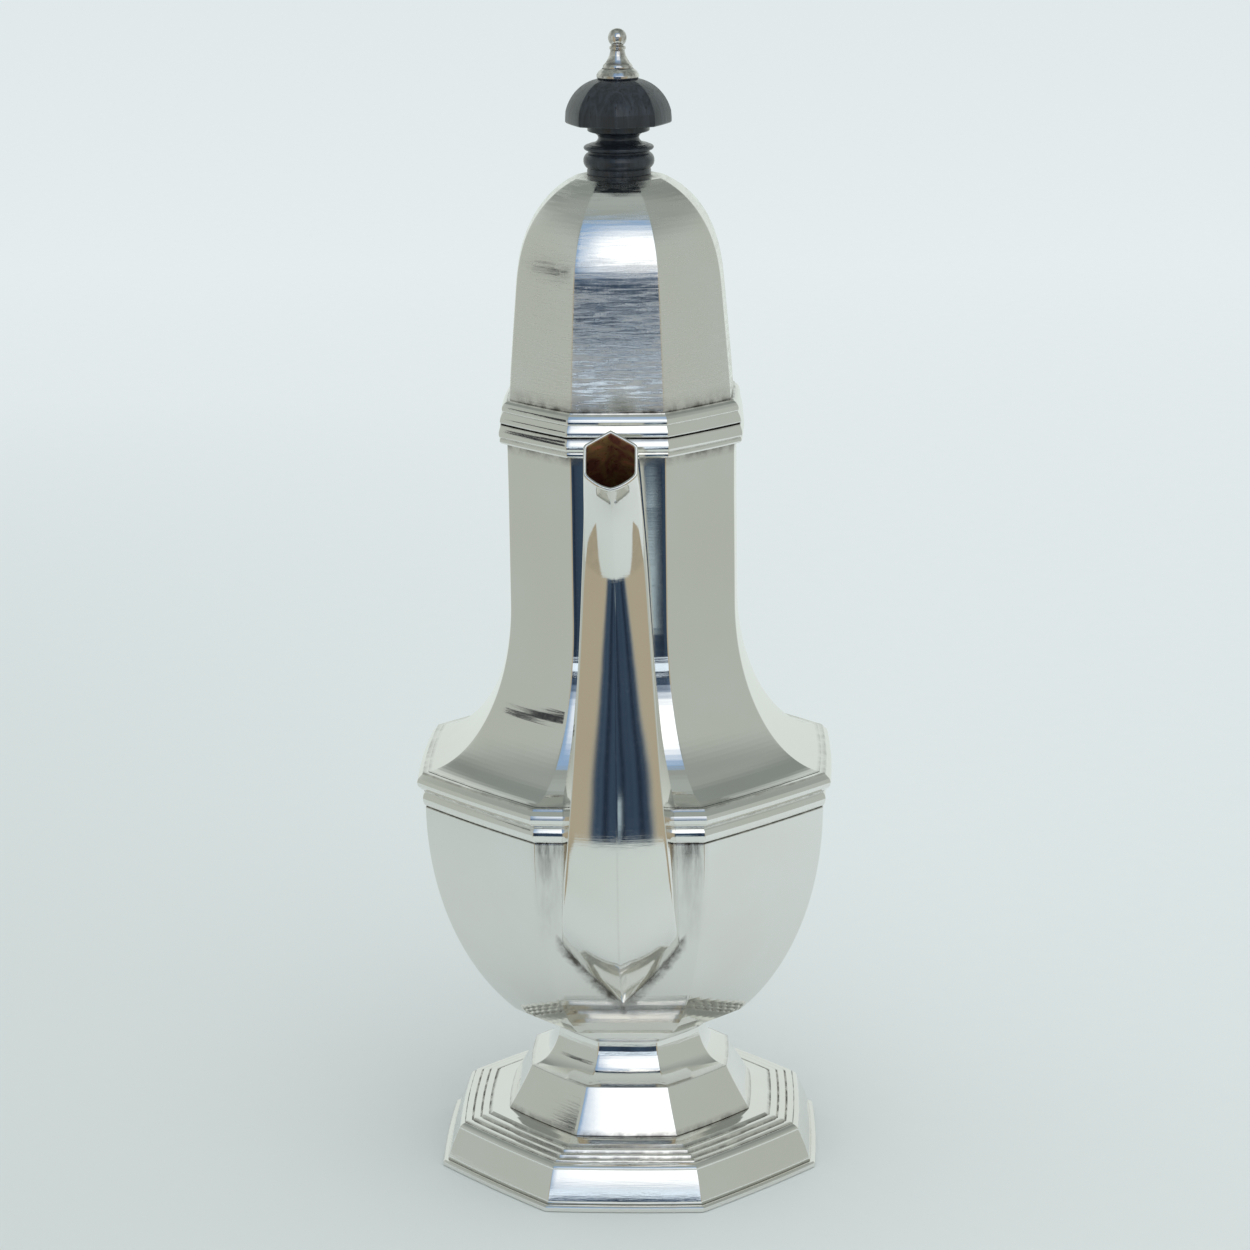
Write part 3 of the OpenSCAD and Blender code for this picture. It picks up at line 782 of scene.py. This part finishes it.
def spout_rows(thickness):
    """Rows of points from the body to the mouth, and their tarnish."""
    roots = [spout_root(c, thickness) for c in range(SPOUT_COLUMNS)]
    rows = []
    marks = []
    for i in range(SPOUT_ROWS + 1):
        f = (i / SPOUT_ROWS) ** 1.15
        row = []
        mark = []
        for c, root in enumerate(roots):
            p = spout_point(root + (1 - root) * f, c, thickness)
            row.append([v * MM for v in p])
            near = max(0.0, 1 - max(0.0, -body_depth(p)) / 0.7)
            seam = 0.09 if c == 0 and thickness == 0 and f < 0.5 else 0.0
            mark.append(0.7 * near + seam)
        rows.append(row)
        marks.append(mark)
    return rows, marks


outside, outside_marks = spout_rows(0.0)
inside, _ = spout_rows(SPOUT_WALL)
spout_marks = outside_marks + [0.2] * len(inside)
spout = skin("spout_silver", outside + inside[::-1], spout_marks, loop=True)
finish(spout, "pot", polished, "spout_silver", "spout_left", "spout_right")
spout.data.materials.append(brown)
outer_faces = SPOUT_ROWS * SPOUT_COLUMNS
for face in spout.data.polygons:
    if outer_faces + SPOUT_COLUMNS <= face.index < 2 * outer_faces + SPOUT_COLUMNS:
        face.material_index = 1

# ---------------------------------------------------------------- handle and sockets
SOCKET = 7.0          # half width of a socket
TENON = 5.5           # half width of the wood inside it


def along_y(ring, y, z):
    """A ring of [x, upward] points set across the Y axis."""
    return [(x * MM, y * MM, (z + v) * MM) for x, v in ring]


def socket(name, node, z, start):
    """A silver socket from the body's surface to the wood."""
    low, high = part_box(node)
    end = high[1] / MM
    outline = [
        (SOCKET, end - 2.0), (SOCKET + 0.15, end - 1.75), (SOCKET + 0.8, end - 1.45),
        (SOCKET + 0.8, end - 0.3), (SOCKET + 0.5, end), (TENON + 0.05, end), (TENON + 0.05, start + 1.2),
    ]
    root = octagon(SOCKET, 0.5, 0.02)
    rows = [[(0, (body_r(z) - 0.5) * MM, z * MM)]]
    rows.append([(x * MM, (body_r(z + v) - 0.5) * MM, (z + v) * MM) for x, v in root])
    rows += [along_y(octagon(r, 0.5, 0.02), y, z) for r, y in outline]
    rows.append([(0, (start + 1.2) * MM, z * MM)])
    marks = [0.7, 0.7] + [0.0] * (len(rows) - 2)
    return finish(skin(name, rows, marks), "pot", fitted, "polished_silver", node)


UPPER_Z, LOWER_Z = 155.0, 79.0
socket("upper_socket_silver", "upper_handle_socket", UPPER_Z, 26.05)
socket("lower_socket_silver", "lower_handle_socket", LOWER_Z, 45.7)

GRIP = 13.0
# Middle line of the handle as (y, z), its width and its depth
KNOTS = [
    (40.6, 155, 11, 11), (50, 156.5, 12.4, 13), (62, 156.5, GRIP, 13.5), (73.5, 149, GRIP, 14),
    (80.5, 136, GRIP, 14.5), (82.5, 121, GRIP, 14.5), (80, 107, GRIP, 14), (74.5, 95, GRIP, 13.5),
    (68, 84.6, 12.4, 12.6), (62.5, 80, 11.4, 11.4), (60.4, 79, 11, 11),
]


def handle_rows():
    """Rings along the handle, closed at both ends."""
    line = [spline(KNOTS, i / 80) for i in range(81)]
    line = [[29.1, 155, 11, 11], [39.4, 155, 11, 11]] + line + [[59.0, 79, 11, 11], [48.8, 79, 11, 11]]
    rows = []
    for i, (y, z, w, d) in enumerate(line):
        a = line[max(i - 1, 0)]
        b = line[min(i + 1, len(line) - 1)]
        length = math.hypot(b[0] - a[0], b[1] - a[1])
        oy, oz = -(b[1] - a[1]) / length, (b[0] - a[0]) / length
        ring = octagon(1.0, 0.16, 0.03)
        rows.append([(x * w / 2 * MM, (y + oy * v * d / 2) * MM, (z + oz * v * d / 2) * MM) for x, v in ring])
    rows.insert(0, [tuple(sum(p[k] for p in rows[0]) / len(rows[0]) for k in range(3))])
    rows.append([tuple(sum(p[k] for p in rows[-1]) / len(rows[-1]) for k in range(3))])
    return rows


finish(skin("handle_wood", handle_rows()), "pot", ebony, "ebonised_wood", "handle")

# ---------------------------------------------------------------- CAD nodes that stay
STAYING = {
    "strainer": fitted, "lid_bezel": polished, "handle_pins": fitted, "body_hinge_leaf": fitted,
    "lid_hinge_leaf": fitted, "hinge_pin": fitted, "knob_stud": fixings, "lid_washer": fixings,
    "knob_nut": fixings,
}
for name, material in STAYING.items():
    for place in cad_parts[name].material_slots:
        place.material = material

# ---------------------------------------------------------------- stage
FLOOR_R = 6.0


def paper(name):
    """Pale paper with painted shade: darker towards the front, and darker on the left side, fading out
    towards the back.
    """
    n = Nodes(name)
    at = n.axes()
    # painted shade: the paper's colour falls from back to front, standing in for light falling off towards
    # the front
    back = n.range(at["Y"], -0.35, 1.3, 0.0, 1.0)
    fleck = n.noise(140, detail=4)
    # painted shade: the paper is darker on the left side, fading out towards the back
    left = n.range(at["X"], -0.3, 0.08, 0.5, 0.0)
    left_front_shade = n.math("MULTIPLY", left, n.range(at["Y"], 0.1, 0.9, 1.0, 0.0))
    tone = n.ramp(back, [(0.0, PAPER_NEAR_SHADED), (0.25, mixed(PAPER_NEAR_SHADED, PAPER_FAR, 0.45)), (1.0, PAPER_FAR)])
    shaded = n.mix(left_front_shade, tone, (0.52, 0.575, 0.555))
    soft = n.mix(n.range(fleck, 0.3, 0.7, 0.0, 0.04), shaded, (0.6, 0.66, 0.66))
    return n.surface(Base_Color=soft, Roughness=0.95, Specular_IOR_Level=0.0)


floor_rings = (0.15, 0.3, 0.6, 1.2, 2.4, FLOOR_R)
floor = skin("floor", [[(0, 0, 0)]] + [[(x, y, 0) for x, y in circle(r, 96)] for r in floor_rings])
floor.data.materials.append(paper("floor_paper"))

# A surround that only reflections see: a pale room with a dark doorway and a bright window in front
TABLE_R = 0.36        # inside this radius the paper is reflected
ROOM_R = 2.6
EYE = 0.12            # height that directions are measured from
ROOM_ROWS = 100
ROOM_GAIN = 1.055


def smooth(value, low, high):
    """0 below low, 1 above high, with a soft step between."""
    t = min(max((value - low) / (high - low), 0.0), 1.0)
    return t * t * (3 - 2 * t)


def band(value, low, high, soft):
    """1 between low and high, fading to 0 over soft on each side."""
    return smooth(value, low - soft, low + soft) * (1 - smooth(value, high - soft, high + soft))


def linear(colour):
    """An 8-bit sRGB colour as linear light. Every channel here is above the curve's straight part."""
    return tuple(((c / 255 + 0.055) / 1.055) ** 2.4 for c in colour)


ROOM = {
    "side": linear((178, 184, 178)),
    "side_up": linear((150, 157, 152)),
    "top": linear((163, 171, 168)),
    "back": linear((216, 224, 220)),
    "back_up": linear((134, 141, 137)),
    "dark": linear((32, 42, 58)),
    "dim": linear((66, 86, 108)),
    "warm": linear((172, 163, 142)),
    "fringe": linear((140, 172, 210)),
    "strip": linear((176, 196, 204)),
}
WINDOW = (1.3, 1.33, 1.34)


def room_colour(az, el):
    """Light from a direction: az from the front towards +X, el above the horizon, in degrees."""
    wide = abs(az)
    behind = smooth(wide, 105, 140)
    colour = mixed(ROOM["side"], ROOM["side_up"], smooth(el, 24, 44) * (1 - behind))
    colour = mixed(colour, mixed(ROOM["back"], ROOM["back_up"], smooth(el, 28, 40)), behind)
    colour = mixed(colour, ROOM["top"], smooth(el, 66, 84))
    colour = mixed(colour, ROOM["warm"], band(wide, 20, 56, 2.5) * (1 - smooth(el, 14, 24)))
    streak = 0.5 + 0.28 * math.sin(az * 0.7 + 0.6) + 0.22 * math.sin(az * 1.7 + 1.9 * math.sin(az * 0.31))
    doorway = mixed(ROOM["dark"], ROOM["dim"], streak ** 1.5)
    colour = mixed(colour, doorway, (1 - smooth(wide, 18, 22)) * (1 - smooth(el, 12, 24)))
    colour = mixed(colour, ROOM["strip"], band(az, 2.3, 4.7, 0.6) * band(el, -15.5, -9.5, 1.5))
    halo = band(az, -32, 44, 8) * smooth(el, 6, 20) * (1 - smooth(el, 60, 66)) * 0.9
    colour = mixed(colour, ROOM["fringe"], halo)
    return mixed(colour, WINDOW, band(az, -11, 38, 5) * smooth(el, 9, 23) * (1 - smooth(el, 36, 62)))


def hide_from_all_but_gloss(piece):
    piece.visible_camera = False
    piece.visible_diffuse = False
    piece.visible_transmission = False
    piece.visible_shadow = False
    piece.visible_volume_scatter = False


def surround():
    rows = [[(x, y, 0.0006) for x, y in circle(r, 360)] for r in (TABLE_R, 0.45, 0.6, 0.8, 1.1, 1.5, 2.0)]
    for i in range(ROOM_ROWS):
        a = math.radians(90 * i / ROOM_ROWS)
        rows.append([(x, y, 0.002 + ROOM_R * math.sin(a)) for x, y in circle(ROOM_R * math.cos(a), 360)])
    rows.append([(0, 0, ROOM_R + 0.002)])
    piece = skin("studio_surround", rows)
    mesh = piece.data
    tint = mesh.color_attributes.new("light", "FLOAT_COLOR", "POINT")
    for v, item in zip(mesh.vertices, tint.data):
        az = math.degrees(math.atan2(v.co.x, -v.co.y))
        el = math.degrees(math.atan2(v.co.z - EYE, math.hypot(v.co.x, v.co.y)))
        item.color = (*[c * ROOM_GAIN for c in room_colour(az, el)], 1)
    n = Nodes("studio_light")
    glow = n.add("ShaderNodeEmission")
    attribute = n.add("ShaderNodeAttribute", attribute_name="light")
    n.link(attribute.outputs["Color"], glow.inputs["Color"])
    n.link(glow.outputs["Emission"], n.out.inputs["Surface"])
    mesh.materials.append(n.material)
    hide_from_all_but_gloss(piece)


surround()


def glow_piece(name, points, faces, colour):
    """A small glowing shape that only reflections see."""
    mesh = bpy.data.meshes.new(name)
    mesh.from_pydata(points, [], faces)
    n = Nodes(name + "_light")
    glow = n.add("ShaderNodeEmission")
    darker = tuple(c * 0.86 for c in colour)
    n.link(n.ramp(n.noise(30), [(0.3, darker), (0.7, colour)]), glow.inputs["Color"])
    n.link(glow.outputs["Emission"], n.out.inputs["Surface"])
    mesh.materials.append(n.material)
    piece = bpy.data.objects.new(name, mesh)
    bpy.context.scene.collection.objects.link(piece)
    hide_from_all_but_gloss(piece)


def warm_wedges():
    """The warm surface on both sides of the doorway comes nearer to the pot away from the middle."""
    points = []
    faces = []
    for side in (-1, 1):
        base = len(points)
        turns = range(20, 58, 2)
        for i, wide in enumerate(turns):
            near = min(0.05 + 0.16 / math.tan(math.radians(wide)), TABLE_R)
            a = math.radians(side * wide)
            for r in (near, TABLE_R + 0.002):
                points.append((r * math.sin(a), -r * math.cos(a), 0.0008))
            if i:
                k = base + 2 * i
                faces.append((k - 2, k - 1, k + 1, k) if side > 0 else (k, k + 1, k - 1, k - 2))
    glow_piece("studio_wedges", points, faces, ROOM["warm"])


warm_wedges()


def low_sill():
    """A pale blue band in front, which brightens the foot of the lid's front facet."""
    columns = [-0.26 + 0.052 * i for i in range(11)]
    points = [(x, -0.6, z) for x in columns for z in (0.13, 0.177)]
    faces = [(2 * i, 2 * i + 2, 2 * i + 3, 2 * i + 1) for i in range(len(columns) - 1)]
    glow_piece("studio_sill", points, faces, (0.9, 1.05, 1.2))


low_sill()


def dark_panel():
    """Something dark beside the pot: a streak in the left shoulder, and a fainter smudge in the dome."""
    x = -0.6
    profile = [
        (-0.085, 0.256, 0.290), (-0.05, 0.248, 0.292), (0.0, 0.254, 0.288),
        (0.04, 0.256, 0.282), (0.07, 0.254, 0.268),
    ]
    points = [(x, y, low) for y, low, _ in profile] + [(x, y, high) for y, _, high in profile]
    count = len(profile)
    faces = [(i, i + 1, count + i + 1, count + i) for i in range(count - 1)]
    glow_piece("studio_panel", points, faces, (0.045, 0.048, 0.052))


dark_panel()

world = bpy.data.worlds.new("studio_air")
world.use_nodes = True
background = next(node for node in world.node_tree.nodes if node.type == "BACKGROUND")
background.inputs["Color"].default_value = (*AIR, 1)
background.inputs["Strength"].default_value = 0.95
bpy.context.scene.world = world


def lamp(name, place, aim, size, power, colour):
    data = bpy.data.lights.new(name, "AREA")
    data.shape = "DISK"
    data.size = size
    data.energy = power
    data.color = colour
    light = bpy.data.objects.new(name, data)
    light.location = place
    light.rotation_euler = (Vector(aim) - Vector(place)).to_track_quat("-Z", "Y").to_euler()
    light.visible_glossy = False
    light.visible_camera = False
    bpy.context.scene.collection.objects.link(light)


lamp("overhead_softbox", (0.4, -0.7, 1.7), (0, 0.1, 0.05), 1.6, 5.0, (1.0, 1.0, 1.0))

# ---------------------------------------------------------------- camera
CAMERA_PLACE = (0.0334, -0.78099, 0.33891)
CAMERA_PAN, CAMERA_PITCH, CAMERA_ROLL = 2.449, 74.897, -0.752
camera_data = bpy.data.cameras.new("camera")
camera_data.lens = 100.34
camera_data.sensor_width = 36
camera = bpy.data.objects.new("camera", camera_data)
turn = Matrix.Rotation(math.radians(CAMERA_PAN), 4, "Z") @ Matrix.Rotation(math.radians(CAMERA_PITCH), 4, "X")
turn = turn @ Matrix.Rotation(math.radians(CAMERA_ROLL), 4, "Z")
camera.matrix_world = Matrix.Translation(CAMERA_PLACE) @ turn
bpy.context.scene.collection.objects.link(camera)
bpy.context.scene.camera = camera
bpy.context.scene.view_settings.view_transform = "Standard"

bpy.context.view_layer.update()
